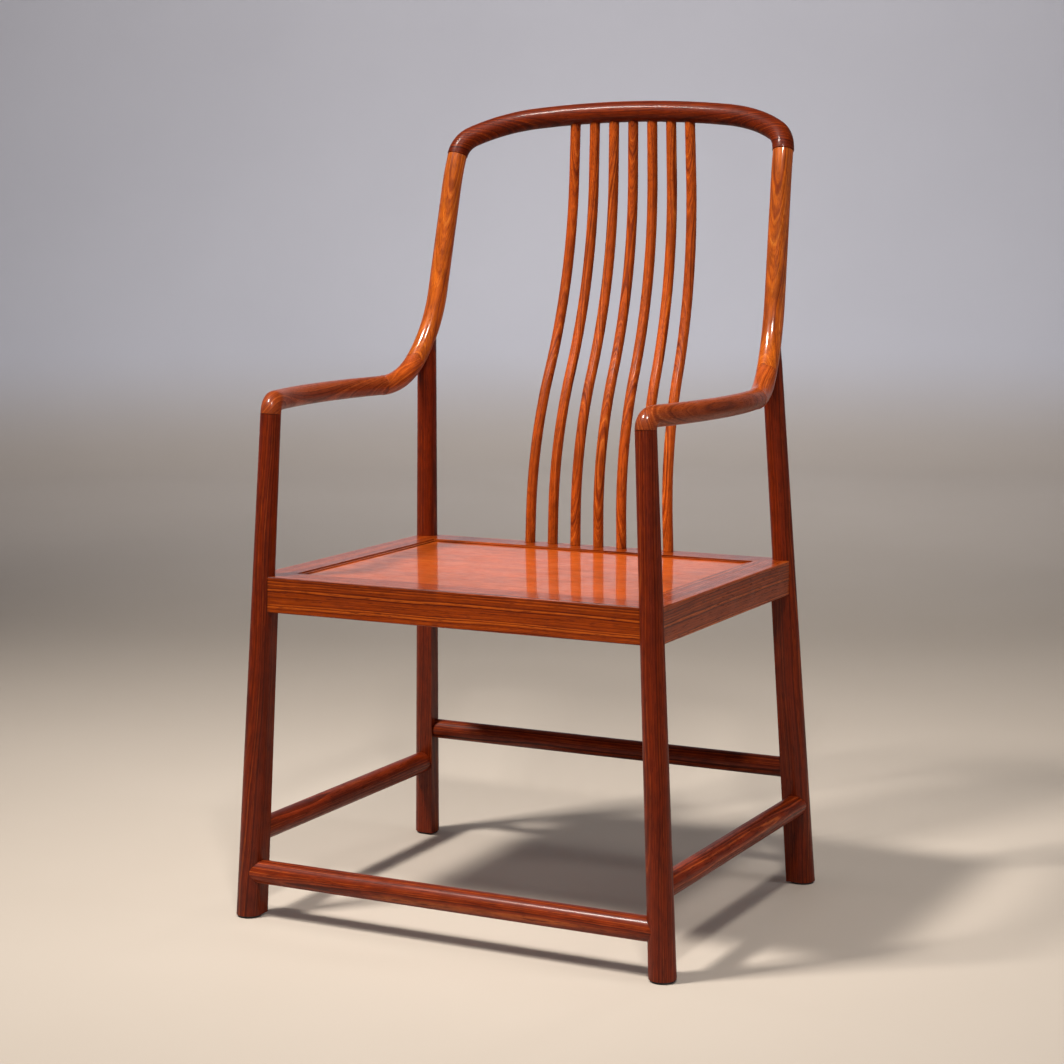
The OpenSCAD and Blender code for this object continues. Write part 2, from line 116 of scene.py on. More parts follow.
@dataclass
class Path:
    """A centreline that grows from its start in straight runs and arcs.

    Attributes:
        points: The points so far.
        heading: Unit direction at the last point.
        ring: Longest distance between two points on an arc.
    """

    points: list[Vector]
    heading: Vector
    ring: float = 3.5 * MM

    LEAST_STEPS = 6

    def run(self, length: float) -> "Path":
        """Goes straight on.

        Args:
            length: How far to go.

        Returns:
            The path itself.
        """
        self.points.append(self.points[-1] + self.heading * length)
        return self

    def arc(self, towards: Vector, radius: float, sweep: float) -> "Path":
        """Bends towards a direction that is square to the heading.

        Args:
            towards: Unit direction from the last point to the arc's centre.
            radius: Centreline radius.
            sweep: Angle of the bend.

        Returns:
            The path itself.
        """
        start = self.points[-1].copy()
        heading = self.heading.copy()
        steps = max(self.LEAST_STEPS, math.ceil(math.radians(sweep) * radius / self.ring))
        for step in range(1, steps + 1):
            angle = sweep * step / steps
            inward = towards * (radius * (1 - cos_of(angle)))
            self.points.append(start + inward + heading * (radius * sin_of(angle)))
        self.heading = heading * cos_of(sweep) + towards * sin_of(sweep)
        return self

    def inward(self, towards: Vector, sweep: float) -> Vector:
        """The direction to the centre at the end of an arc of that sweep.

        Args:
            towards: Direction to the centre at the arc's start.
            sweep: Angle of the arc, whose end is where the path is now.

        Returns:
            The unit direction.
        """
        return (towards - self.heading * sin_of(sweep)) / cos_of(sweep)

    def split(self) -> "Path":
        """A new path that starts where this one ends."""
        return Path([self.points[-1].copy()], self.heading.copy(), self.ring)

    @property
    def end(self) -> Vector:
        """The last point."""
        return self.points[-1]


def square_to(direction: Vector, aim: Vector) -> Vector:
    """The unit direction square to one direction that leans most towards another.

    Args:
        direction: Unit direction to be square to.
        aim: Direction to lean towards.

    Returns:
        The unit direction.
    """
    return (aim - direction * direction.dot(aim)).normalized()


# ---- Finishes


@dataclass(frozen=True)
class Lacquer:
    """The clear coat over the wood.

    Attributes:
        weight: How much of the surface the coat covers.
        haze: Roughness of the coat.
        wood_gloss: Mean roughness of the wood under it.
    """

    weight: float
    haze: float
    wood_gloss: float


@dataclass(frozen=True)
class Rosewood:
    """One tone of rosewood, from its dark vein to its light sapwood streak.

    Attributes:
        name: Name of the finish.
        slot: Name of a material slot. Not used.
        vein: Colour of the dark veins.
        heart: Colour between the veins.
        streak: Colour of the lightest streaks.
        bands: Growth bands per metre across the grain.
        contrast: How sharply the veins stand out.
        wave: How far the growth bands wander, in metres.
        mottle: Strength of the figure across the grain.
        lacquer: The coat over it.
    """

    name: str
    slot: str
    vein: Colour
    heart: Colour
    streak: Colour
    bands: float
    contrast: float
    wave: float
    mottle: float
    lacquer: Lacquer


WAXED = Lacquer(weight=0.07, haze=0.1, wood_gloss=0.46)
SATIN = Lacquer(weight=0.2, haze=0.2, wood_gloss=0.44)
GLOSS = Lacquer(weight=0.34, haze=0.14, wood_gloss=0.4)
POLISH = Lacquer(weight=0.62, haze=0.12, wood_gloss=0.36)
MIRROR = Lacquer(weight=0.66, haze=0.03, wood_gloss=0.34)

LEG_WOOD = Rosewood("leg_rosewood", "rosewood_dark", (0.050, 0.0042, 0.0004), (0.130, 0.0118, 0.0008),
                    (0.30, 0.060, 0.006), 560.0, 0.85, 0.016, 0.8, SATIN)
# The crest rail's dark tone is partly its own wood and partly painted shade for its front face, which falls
# in shade.
CREST_WOOD_AND_SHADE = Rosewood("crest_rosewood_and_shade", "rosewood_dark", (0.034, 0.0026, 0.0002), (0.105, 0.0105, 0.0005),
                      (0.25, 0.042, 0.003), 420.0, 1.0, 0.02, 0.8, WAXED)
ARM_WOOD = Rosewood("arm_rosewood", "rosewood_red", (0.09, 0.012, 0.0015), (0.22, 0.035, 0.005),
                    (0.38, 0.088, 0.018), 520.0, 1.1, 0.02, 0.4, GLOSS)
# The elbows take the arms' rosewood made brighter: partly their own wood, partly painted light for faces
# turned up to the lamps.
ELBOW_WOOD_AND_LIGHT = Rosewood("elbow_rosewood", "rosewood_red", (0.15, 0.020, 0.0020), (0.33, 0.055, 0.0045),
                      (0.52, 0.13, 0.020), 420.0, 1.0, 0.025, 0.6, POLISH)
STILE_WOOD = Rosewood("stile_rosewood", "rosewood_orange", (0.15, 0.020, 0.0014), (0.37, 0.074, 0.0035),
                      (0.62, 0.20, 0.026), 300.0, 1.0, 0.02, 1.0, POLISH)
SPINDLE_WOOD = Rosewood("spindle_rosewood", "rosewood_orange", (0.12, 0.013, 0.0007), (0.33, 0.052, 0.0024),
                        (0.54, 0.135, 0.016), 520.0, 0.95, 0.008, 1.0, SATIN)
RAIL_WOOD = Rosewood("rail_rosewood", "rosewood_rail", (0.07, 0.0068, 0.0005), (0.23, 0.031, 0.0010),
                     (0.38, 0.076, 0.006), 380.0, 1.35, 0.010, 0.5, POLISH)
PANEL_WOOD = Rosewood("panel_rosewood", "rosewood_panel", (0.25, 0.033, 0.0026), (0.43, 0.074, 0.0045),
                      (0.62, 0.155, 0.018), 330.0, 0.9, 0.018, 0.8, MIRROR)
# The stretchers' light streaks are partly grain and partly a painted highlight, standing for the soft sheen
# along their tops.
STRETCHER_WOOD_AND_SHEEN = Rosewood("stretcher_rosewood_and_sheen", "rosewood_red", (0.055, 0.005, 0.0006),
                          (0.17, 0.018, 0.0020), (0.36, 0.075, 0.013), 460.0, 1.2, 0.02, 0.9, SATIN)


@dataclass(frozen=True)
class Cut:
    """How a piece was cut from the log, which sets its own pattern.

    The cuts step round the log by the golden share of a turn, so that no two of them match.

    Attributes:
        grain: Direction of the grain.
        centre: A point in the piece.
        pith: Distance from the piece to the log's centre.
        turn: Angle round the grain at which the log's centre lies.
        along: Where along the log the piece was cut.
    """

    grain: Vector
    centre: Vector
    pith: float
    turn: float
    along: float

    GOLDEN_SHARE = 0.61803
    LEAST_PITH = 0.8
    PITH_SPREAD = 0.5
    LOG_STEP = 1.7

    @staticmethod
    def numbered(index: int, grain: Vector, centre: Vector, pith: float) -> "Cut":
        """A cut whose turn and place along the log follow from a number.

        Args:
            index: The piece's number. No two numbers give the same pattern.
            grain: Direction of the grain.
            centre: A point in the piece.
            pith: Distance from the piece to the log's centre.

        Returns:
            The cut.
        """
        share = (index * Cut.GOLDEN_SHARE) % 1.0
        depth = pith * (Cut.LEAST_PITH + Cut.PITH_SPREAD * share)
        return Cut(grain.normalized(), centre, depth, 360.0 * share, Cut.LOG_STEP * index)


@dataclass(frozen=True)
class Fleck:
    """A solid noise that may be drawn out along the grain.

    Attributes:
        cells: Cells per metre across the grain.
        along: Scale along the grain, as a share of the scale across it.
        octaves: Number of octaves.
        keep: Share that each finer octave keeps.
    """

    cells: float
    along: float
    octaves: float
    keep: float = 0.5


class NodeSheet:
    """Adds and joins the nodes of one tree, and lays them out from left to right."""

    ROW = 12
    COLUMN_STEP = 180
    ROW_STEP = -220
    BAND_ROUGHNESS = 0.62

    def __init__(self, tree: bpy.types.NodeTree) -> None:
        """Starts on an empty tree.

        Args:
            tree: The node tree to build in.
        """
        self.tree = tree
        self.count = 0

    def add(self, kind: str, inputs: dict[str | int, object] | None = None,
            **settings: object) -> bpy.types.Node:
        """Adds a node.

        Args:
            kind: The node's type name.
            inputs: What each input gets: a socket to join to it, or a value.
            settings: The node's own settings.

        Returns:
            The node.
        """
        node = self.tree.nodes.new(kind)
        node.location = (self.COLUMN_STEP * (self.count % self.ROW), self.ROW_STEP * (self.count // self.ROW))
        self.count += 1
        for name, value in settings.items():
            setattr(node, name, value)
        for name, value in (inputs or {}).items():
            if isinstance(value, bpy.types.NodeSocket):
                self.tree.links.new(value, node.inputs[name])
            else:
                node.inputs[name].default_value = value
        return node

    def maths(self, operation: str, a: object, b: object = 0.0, clamp: bool = False) -> bpy.types.NodeSocket:
        """Adds a Math node.

        Args:
            operation: The sum to do.
            a: First value or socket.
            b: Second value or socket.
            clamp: Whether the result stays within 0 and 1.

        Returns:
            The result's socket.
        """
        return self.add("ShaderNodeMath", {0: a, 1: b}, operation=operation, use_clamp=clamp).outputs[0]

    def blend(self, share: object, a: object, b: object, mode: str = "MIX") -> bpy.types.NodeSocket:
        """Mixes two colours.

        Args:
            share: How much of b.
            a: First colour.
            b: Second colour.
            mode: The blend's mode.

        Returns:
            The mixed colour's socket.
        """
        node = self.add("ShaderNodeMix", {"Factor": share}, data_type="RGBA", blend_type=mode)
        for index, colour in ((6, a), (7, b)):
            if isinstance(colour, bpy.types.NodeSocket):
                self.tree.links.new(colour, node.inputs[index])
            else:
                node.inputs[index].default_value = colour
        return node.outputs[2]

    def spread(self, value: object, low: float, high: float) -> bpy.types.NodeSocket:
        """Stretches values between low and high over 0 to 1, softly.

        Args:
            value: The socket to stretch.
            low: What becomes 0.
            high: What becomes 1.

        Returns:
            The result's socket.
        """
        node = self.add("ShaderNodeMapRange", {0: value, 1: low, 2: high}, interpolation_type="SMOOTHSTEP")
        return node.outputs[0]

    def noise(self, place: object, fleck: Fleck) -> bpy.types.NodeSocket:
        """Adds a solid noise.

        Args:
            place: The coordinates' socket, whose Z runs along the grain.
            fleck: The noise's scale and detail.

        Returns:
            The noise value's socket.
        """
        drawn = self.stretched(place, fleck.along)
        inputs = {"Vector": drawn, "Scale": fleck.cells, "Detail": fleck.octaves, "Roughness": fleck.keep}
        return self.add("ShaderNodeTexNoise", inputs, noise_dimensions="3D").outputs[0]

    def bands(self, distance: object, scale: object, detail: float) -> bpy.types.NodeSocket:
        """Adds a noise along one number, which gives bands of uneven width.

        Args:
            distance: The number's socket.
            scale: Bands per metre.
            detail: Octaves.

        Returns:
            The noise value's socket.
        """
        inputs = {"W": distance, "Scale": scale, "Detail": detail, "Roughness": self.BAND_ROUGHNESS}
        return self.add("ShaderNodeTexNoise", inputs, noise_dimensions="1D").outputs[0]

    def stretched(self, place: object, along: float) -> bpy.types.NodeSocket:
        """Scales coordinates along their Z, which runs along the grain.

        Args:
            place: The coordinates' socket.
            along: The scale.

        Returns:
            The scaled coordinates' socket.
        """
        inputs = {0: place, 1: (1.0, 1.0, along)}
        return self.add("ShaderNodeVectorMath", inputs, operation="MULTIPLY").outputs[0]


def blank_material(name: str) -> tuple[bpy.types.Material, NodeSheet]:
    """A material with no nodes yet.

    Args:
        name: Its name.

    Returns:
        The material, and the sheet to build its nodes on.
    """
    made = bpy.data.materials.new(name)
    made.use_nodes = True
    made.node_tree.nodes.clear()
    return made, NodeSheet(made.node_tree)


class FigureGroup:
    """The figure of rosewood as one node group, in a log's own coordinates: Z is its centre line."""

    NAME = "rosewood_figure"
    SWELL = Fleck(9.0, 0.3, 2.0)
    WANDER = Fleck(70.0, 0.1, 3.0)
    FIBRE = Fleck(900.0, 0.018, 3.0, 0.6)
    RIPPLE = Fleck(85.0, 0.55, 2.0)
    CLOUD = Fleck(14.0, 0.3, 2.0)
    PORES = Fleck(1300.0, 0.05, 2.0, 0.45)
    TOUCH = Fleck(22.0, 1.0, 3.0)
    # How far the bands wander on a small scale
    WANDER_REACH = 0.004
    BROAD_BANDS = 46.0
    VEIN_OCTAVES = 4.0
    BROAD_OCTAVES = 2.0
    # Shares of the tone, which add up to one
    VEIN_SHARE = 0.56
    BROAD_SHARE = 0.2
    FIBRE_SHARE = 0.24
    # Values over which a colour or a mark comes in
    HEART_EDGE = (-0.15, 0.05)
    STREAK_EDGE = (0.02, 0.2)
    PORE_EDGE = (0.57, 0.66)
    SOFT_EDGE = (0.3, 0.7)
    # How strongly each shows in the colour, the gloss or the relief
    FIGURE_DEPTH = 0.32
    PORE_TINT = 0.75
    TOUCH_HAZE = 0.10
    PORE_HAZE = 0.2
    FIBRE_GLOSS = 0.08
    FIBRE_HEIGHT = 0.35

    def __init__(self) -> None:
        """Builds the group."""
        self.tree = bpy.data.node_groups.new(self.NAME, "ShaderNodeTree")
        self.sheet = NodeSheet(self.tree)
        self._sockets()
        self._figure()

    def _sockets(self) -> None:
        """Declares what the group takes and gives."""
        face = self.tree.interface
        face.new_socket("Vector", in_out="INPUT", socket_type="NodeSocketVector")
        for name in ("Vein", "Heart", "Streak"):
            face.new_socket(name, in_out="INPUT", socket_type="NodeSocketColor")
        for name in ("Bands", "Contrast", "Wave", "Mottle", "Wood gloss"):
            face.new_socket(name, in_out="INPUT", socket_type="NodeSocketFloat")
        face.new_socket("Color", in_out="OUTPUT", socket_type="NodeSocketColor")
        for name in ("Roughness", "Height"):
            face.new_socket(name, in_out="OUTPUT", socket_type="NodeSocketFloat")

    def _ring_distance(self, place: bpy.types.NodeSocket, wave: bpy.types.NodeSocket) -> bpy.types.NodeSocket:
        """Distance from the log's centre, bent by slow waves and fine wander.

        Args:
            place: The log coordinates' socket.
            wave: How far the bands wander.

        Returns:
            The distance's socket.
        """
        sheet = self.sheet
        flat = sheet.stretched(place, 0.0)
        radius = sheet.add("ShaderNodeVectorMath", {0: flat}, operation="LENGTH").outputs["Value"]
        slow = sheet.maths("MULTIPLY", sheet.noise(place, self.SWELL), wave)
        wander = sheet.maths("MULTIPLY", sheet.noise(place, self.WANDER), self.WANDER_REACH)
        return sheet.maths("ADD", sheet.maths("ADD", radius, slow), wander)

    def _figure(self) -> None:
        """Builds veins, streaks, fibres, pores and mottle, and gathers them."""
        sheet = self.sheet
        given = sheet.add("NodeGroupInput").outputs
        place = given["Vector"]
        ring = self._ring_distance(place, given["Wave"])

        veins = sheet.bands(ring, given["Bands"], self.VEIN_OCTAVES)
        broad = sheet.bands(ring, self.BROAD_BANDS, self.BROAD_OCTAVES)
        fibre = sheet.noise(place, self.FIBRE)
        veined = sheet.maths("MULTIPLY", veins, self.VEIN_SHARE)
        tone = sheet.maths("ADD", veined, sheet.maths("MULTIPLY", broad, self.BROAD_SHARE))
        tone = sheet.maths("ADD", tone, sheet.maths("MULTIPLY", fibre, self.FIBRE_SHARE))
        centred = sheet.maths("MULTIPLY", sheet.maths("SUBTRACT", tone, 0.5), given["Contrast"])

        colour = sheet.blend(sheet.spread(centred, *self.HEART_EDGE), given["Vein"], given["Heart"])
        colour = sheet.blend(sheet.spread(centred, *self.STREAK_EDGE), colour, given["Streak"])

        ripple = sheet.spread(sheet.noise(place, self.RIPPLE), *self.SOFT_EDGE)
        cloud = sheet.spread(sheet.noise(place, self.CLOUD), *self.SOFT_EDGE)
        figure = sheet.maths("ADD", ripple, cloud)
        figure = sheet.maths("MULTIPLY", sheet.maths("SUBTRACT", figure, 1.0), given["Mottle"])
        value = sheet.maths("ADD", sheet.maths("MULTIPLY", figure, self.FIGURE_DEPTH), 1.0)
        colour = sheet.add("ShaderNodeHueSaturation", {"Value": value, "Color": colour}).outputs[0]

        pore = sheet.spread(sheet.noise(place, self.PORES), *self.PORE_EDGE)
        colour = sheet.blend(sheet.maths("MULTIPLY", pore, self.PORE_TINT), colour, given["Vein"])

        handled = sheet.spread(sheet.noise(place, self.TOUCH), *self.SOFT_EDGE)
        rough = sheet.maths("ADD", given["Wood gloss"], sheet.maths("MULTIPLY", handled, self.TOUCH_HAZE))
        rough = sheet.maths("ADD", rough, sheet.maths("MULTIPLY", pore, self.PORE_HAZE))
        rough = sheet.maths("SUBTRACT", rough, sheet.maths("MULTIPLY", fibre, self.FIBRE_GLOSS), clamp=True)
        height = sheet.maths("SUBTRACT", sheet.maths("MULTIPLY", fibre, self.FIBRE_HEIGHT), pore)

        sheet.add("NodeGroupOutput", {"Color": colour, "Roughness": rough, "Height": height})


class WoodShop:
    """Makes one material for each piece of wood, all from the same figure group."""

    PORE_DEPTH = 0.12 * MM
    GRAIN_RELIEF = 0.35
    WOOD_SPECULAR = 0.1
    COAT_IOR = 1.5

    def __init__(self) -> None:
        """Builds the shared figure."""
        self.figure = FigureGroup()

    def material(self, name: str, wood: Rosewood, cut: Cut) -> bpy.types.Material:
        """The finish of one piece.

        Args:
            name: The piece's name.
            wood: Its tone of rosewood.
            cut: How it was cut from the log.

        Returns:
            The material.
        """
        made, sheet = blank_material(f"{wood.name}.{name}")
        place = sheet.add("ShaderNodeTexCoord").outputs["Object"]
        log = sheet.add("ShaderNodeMapping", {"Vector": place}, vector_type="TEXTURE")
        turned = cut.grain.to_track_quat("Z", "Y") @ Quaternion(UP, math.radians(cut.turn))
        log.inputs["Rotation"].default_value = turned.to_euler()
        pith = cut.centre - turned @ Vector((cut.pith, 0.0, cut.along))
        log.inputs["Location"].default_value = pith
        figure = sheet.add("ShaderNodeGroup", node_tree=self.figure.tree)
        sheet.tree.links.new(log.outputs[0], figure.inputs["Vector"])
        for socket, colour in (("Vein", wood.vein), ("Heart", wood.heart), ("Streak", wood.streak)):
            figure.inputs[socket].default_value = (*colour, 1.0)
        figure.inputs["Bands"].default_value = wood.bands
        figure.inputs["Contrast"].default_value = wood.contrast
        figure.inputs["Wave"].default_value = wood.wave
        figure.inputs["Mottle"].default_value = wood.mottle
        figure.inputs["Wood gloss"].default_value = wood.lacquer.wood_gloss
        bump = sheet.add("ShaderNodeBump", {
            "Height": figure.outputs["Height"], "Distance": self.PORE_DEPTH, "Strength": self.GRAIN_RELIEF,
        })
        shader = sheet.add("ShaderNodeBsdfPrincipled", {
            "Base Color": figure.outputs["Color"],
            "Roughness": figure.outputs["Roughness"],
            "Normal": bump.outputs[0],
            "Specular IOR Level": self.WOOD_SPECULAR,
            "Coat Weight": wood.lacquer.weight,
            "Coat Roughness": wood.lacquer.haze,
            "Coat IOR": self.COAT_IOR,
        })
        sheet.add("ShaderNodeOutputMaterial", {"Surface": shader.outputs[0]})
        return made


@dataclass(frozen=True)
class PadRubber:
    """The black pads under the feet: matt, dusty and faintly pitted.

    Attributes:
        clean: Colour of the rubber.
        dusty: Colour where floor dust sticks.
        dust: The patches of dust.
        dust_edge: Noise values over which dust comes in.
        dust_haze: Roughness that dust adds.
        matt: Roughness of the clean rubber.
        gloss: Specular level.
        pits: The pits.
        pit_depth: Depth of the pits.
        pit_relief: Strength of the pits.
    """

    clean: Colour = (0.012, 0.011, 0.011)
    dusty: Colour = (0.055, 0.05, 0.045)
    dust: Fleck = Fleck(90.0, 1.0, 4.0)
    dust_edge: Edge = (0.42, 0.68)
    dust_haze: float = 0.25
    matt: float = 0.62
    gloss: float = 0.3
    pits: Fleck = Fleck(1600.0, 1.0, 2.0)
    pit_depth: float = 0.1 * MM
    pit_relief: float = 0.5

    def material(self) -> bpy.types.Material:
        """The pads' material.

        Returns:
            The material.
        """
        made, sheet = blank_material("pad_rubber.worn")
        place = sheet.add("ShaderNodeTexCoord").outputs["Object"]
        dust = sheet.spread(sheet.noise(place, self.dust), *self.dust_edge)
        colour = sheet.blend(dust, (*self.clean, 1.0), (*self.dusty, 1.0))
        rough = sheet.maths("ADD", self.matt, sheet.maths("MULTIPLY", dust, self.dust_haze))
        bump = sheet.add("ShaderNodeBump", {
            "Height": sheet.noise(place, self.pits), "Distance": self.pit_depth, "Strength": self.pit_relief,
        })
        shader = sheet.add("ShaderNodeBsdfPrincipled", {
            "Base Color": colour,
            "Roughness": rough,
            "Normal": bump.outputs[0],
            "Specular IOR Level": self.gloss,
        })
        sheet.add("ShaderNodeOutputMaterial", {"Surface": shader.outputs[0]})
        return made


def add_object(name: str, data: bpy.types.ID) -> bpy.types.Object:
    """Puts a new object in the scene.

    Args:
        name: Its name.
        data: Its mesh, light or camera.

    Returns:
        The object.
    """
    made = bpy.data.objects.new(name, data)
    bpy.context.scene.collection.objects.link(made)
    return made


# ---- Bars swept by Geometry Nodes


@dataclass(frozen=True)
class BarEnds:
    """How a bar's two ends are made.

    Attributes:
        tenon: Radius of the round tenons, or 0 for none.
        first: Length of the tenon at the start.
        last: Length of the tenon at the end.
    """

    tenon: float = 0.0
    first: float = 0.0
    last: float = 0.0


class BarSweep:
    """A Geometry Nodes tree that sweeps a round bar along a path, with eased ends and round tenons."""

    NAME = "bar_sweep"
    EASED_EDGE = 0.35 * MM
    SHARP_ANGLE = 40.0
    TOUCH = 1e-6

    def __init__(self) -> None:
        """Builds the tree."""
        self.tree = bpy.data.node_groups.new(self.NAME, "GeometryNodeTree")
        self.tree.is_modifier = True
        self.sheet = NodeSheet(self.tree)
        self.keys: dict[str, str] = {}
        self._sockets()
        self._sweep()

    def _sockets(self) -> None:
        face = self.tree.interface
        face.new_socket("Geometry", in_out="OUTPUT", socket_type="NodeSocketGeometry")
        face.new_socket("Geometry", in_out="INPUT", socket_type="NodeSocketGeometry")
        for name in ("Bar radius", "Eased edge", "Tenon radius", "First tenon", "Last tenon"):
            self.keys[name] = face.new_socket(name, in_out="INPUT", socket_type="NodeSocketFloat").identifier
        self.keys["Sides"] = face.new_socket("Sides", in_out="INPUT", socket_type="NodeSocketInt").identifier
        finish = face.new_socket("Finish", in_out="INPUT", socket_type="NodeSocketMaterial")
        self.keys["Finish"] = finish.identifier

    def _radius(self, given: bpy.types.NodeInputs) -> bpy.types.NodeSocket:
        """The radius at a point: a tenon's within its length, else the bar's, eased at the shoulders.

        Args:
            given: The group input's sockets.

        Returns:
            The radius socket.
        """
        sheet = self.sheet
        walked = sheet.add("GeometryNodeSplineParameter").outputs["Length"]
        total = sheet.add("GeometryNodeSplineLength").outputs["Length"]
        left = sheet.maths("SUBTRACT", total, walked)
        from_first = sheet.maths("SUBTRACT", walked, given["First tenon"])
        from_last = sheet.maths("SUBTRACT", left, given["Last tenon"])
        from_shoulder = sheet.maths("MINIMUM", from_first, from_last)
        depth = sheet.maths("MAXIMUM", from_shoulder, 0.0)
        cut = sheet.maths("SUBTRACT", given["Eased edge"], sheet.maths("MINIMUM", depth, given["Eased edge"]))
        bar = sheet.maths("SUBTRACT", given["Bar radius"], cut)
        inside = sheet.maths("LESS_THAN", from_shoulder, -self.TOUCH)
        swap = {"Switch": inside, "False": bar, "True": given["Tenon radius"]}
        return sheet.add("GeometryNodeSwitch", swap, input_type="FLOAT").outputs[0]

    def _sweep(self) -> None:
        """Builds the tree."""
        sheet = self.sheet
        given = sheet.add("NodeGroupInput").outputs
        curve = sheet.add("GeometryNodeMeshToCurve", {"Mesh": given["Geometry"]}).outputs[0]
        sized = sheet.add("GeometryNodeSetCurveRadius", {"Curve": curve, "Radius": self._radius(given)})
        ring = sheet.add("GeometryNodeCurvePrimitiveCircle", {"Resolution": given["Sides"], "Radius": 1.0})
        tube = sheet.add("GeometryNodeCurveToMesh", {
            "Curve": sized.outputs[0],
            "Profile Curve": ring.outputs[0],
            "Scale": sheet.add("GeometryNodeInputRadius").outputs[0],
            "Fill Caps": True,
        })
        whole = sheet.add("GeometryNodeRealizeInstances", {"Geometry": tube.outputs[0]}).outputs[0]
        dressed = sheet.add("GeometryNodeSetMaterial", {"Geometry": whole, "Material": given["Finish"]})
        sheet.add("NodeGroupOutput", {"Geometry": dressed.outputs[0]})

    def make(self, name: str, path: list[Vector], radius: float, ends: BarEnds,
             finish: bpy.types.Material, sides: int) -> bpy.types.Object:
        """Sweeps one bar and leaves it as a plain mesh.

        Args:
            name: Name of the piece.
            path: Its centreline, tenons included.
            radius: The bar's radius.
            ends: How its ends are made.
            finish: Its material.
            sides: Number of facets round it.

        Returns:
            The piece.
        """
        mesh = bpy.data.meshes.new(f"{name}.path")
        points = with_shoulders(path, ends, self.EASED_EDGE)
        mesh.from_pydata(points, [(i, i + 1) for i in range(len(points) - 1)], [])
        guide = add_object(f"{name}.guide", mesh)
        sweep = guide.modifiers.new("sweep", "NODES")
        sweep.node_group = self.tree
        sizes = {
            "Bar radius": radius, "Eased edge": self.EASED_EDGE, "Tenon radius": ends.tenon,
            "First tenon": ends.first, "Last tenon": ends.last, "Sides": sides, "Finish": finish,
        }
        for label, value in sizes.items():
            sweep[self.keys[label]] = value
        bpy.context.view_layer.update()
        swept = bpy.data.meshes.new_from_object(guide.evaluated_get(bpy.context.evaluated_depsgraph_get()))
        bpy.data.objects.remove(guide)
        bpy.data.meshes.remove(mesh)
        swept.name = name
        swept.shade_smooth()
        swept.set_sharp_from_angle(angle=math.radians(self.SHARP_ANGLE))
        return add_object(name, swept)


def with_shoulders(path: list[Vector], ends: BarEnds, eased: float) -> list[Vector]:
    """Adds the points at which a bar's radius changes: its tenons' shoulders and their eased edges.

    Args:
        path: The bar's centreline.
        ends: How its ends are made.
        eased: Width of the eased edge.

    Returns:
        The centreline with those points.
    """
    hair = 0.01 * MM
    touch = 1e-7
    total = sum((b - a).length for a, b in zip(path, path[1:]))
    marks = []
    if ends.first > 0:
        marks += [ends.first - hair, ends.first]
    marks += [ends.first + eased, total - ends.last - eased]
    if ends.last > 0:
        marks += [total - ends.last, total - ends.last + hair]
    walked = 0.0
    made = [path[0]]
    for start, stop in zip(path, path[1:]):
        step = (stop - start).length
        inner = [m for m in marks if walked + touch < m < walked + step - touch]
        made += [start.lerp(stop, (mark - walked) / step) for mark in inner]
        made.append(stop)
        walked += step
    return made


# ---- Sub-assemblies


def give_finish(node: str, finish: bpy.types.Material) -> None:
    """Puts a finish on a piece of the frame.

    Args:
        node: The piece's name.
        finish: Its material.
    """
    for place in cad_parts[node].material_slots:
        place.material = finish


@dataclass
class Bench:
    """What every sub-assembly works with.

    Attributes:
        shop: Makes the wood materials.
        sweep: Sweeps the bars.
        count: Number of pieces of wood cut so far.
    """

    shop: WoodShop
    sweep: BarSweep
    count: int = 0

    def cut(self, grain: Vector, centre: Vector, pith: float) -> Cut:
        """The next cut from the log.

        Args:
            grain: Direction of the grain.
            centre: A point in the piece.
            pith: Distance from the piece to the log's centre.

        Returns:
            The cut.
        """
        self.count += 1
        return Cut.numbered(self.count, grain, centre, pith)

    def dress(self, node: str, wood: Rosewood, grain: Vector, pith: float) -> None:
        """Gives a piece of the frame its own cut of wood.

        Args:
            node: The piece's name.
            wood: Its tone of rosewood.
            grain: Direction of its grain.
            pith: Distance from the piece to the log's centre.
        """
        low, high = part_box(node)
        give_finish(node, self.shop.material(node, wood, self.cut(grain, (low + high) / 2, pith)))
        LOG.info("%s: dressed in %s", node, wood.name)

    def bar(self, node: str, path: list[Vector], radius: float, ends: BarEnds, wood: Rosewood,
            pith: float, sides: int) -> bpy.types.Object:
        """Sweeps a finished bar and puts it in the place of the frame's own.

        Args:
            node: The frame's piece that it stands for.
            path: Its centreline, tenons included.
            radius: Its radius.
            ends: How its ends are made.
            wood: Its tone of rosewood.
            pith: Distance from the piece to the log's centre.
            sides: Number of facets round it.

        Returns:
            The piece.
        """
        grain = path[-1] - path[0]
        centre = (path[0] + path[-1]) / 2
        finish = self.shop.material(node, wood, self.cut(grain, centre, pith))
        piece = self.sweep.make(f"{node}.bar", path, radius, ends, finish, sides)
        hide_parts(node)
        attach(piece, BODY)
        self._compare(piece, node)
        return piece

    @staticmethod
    def _compare(piece: bpy.types.Object, node: str) -> None:
        """Logs how far a piece's box is from the box of the node that it stands for.

        Args:
            piece: The finished piece.
            node: The frame's piece.
        """
        low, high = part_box(node)
        spots = [vertex.co for vertex in piece.data.vertices]
        off = 0.0
        for axis in range(3):
            places = [spot[axis] for spot in spots]
            off = max(off, abs(min(places) - low[axis]), abs(max(places) - high[axis]))
        LOG.info("%s: swept with %d faces, box within %.2f mm", node, len(piece.data.polygons), off / MM)


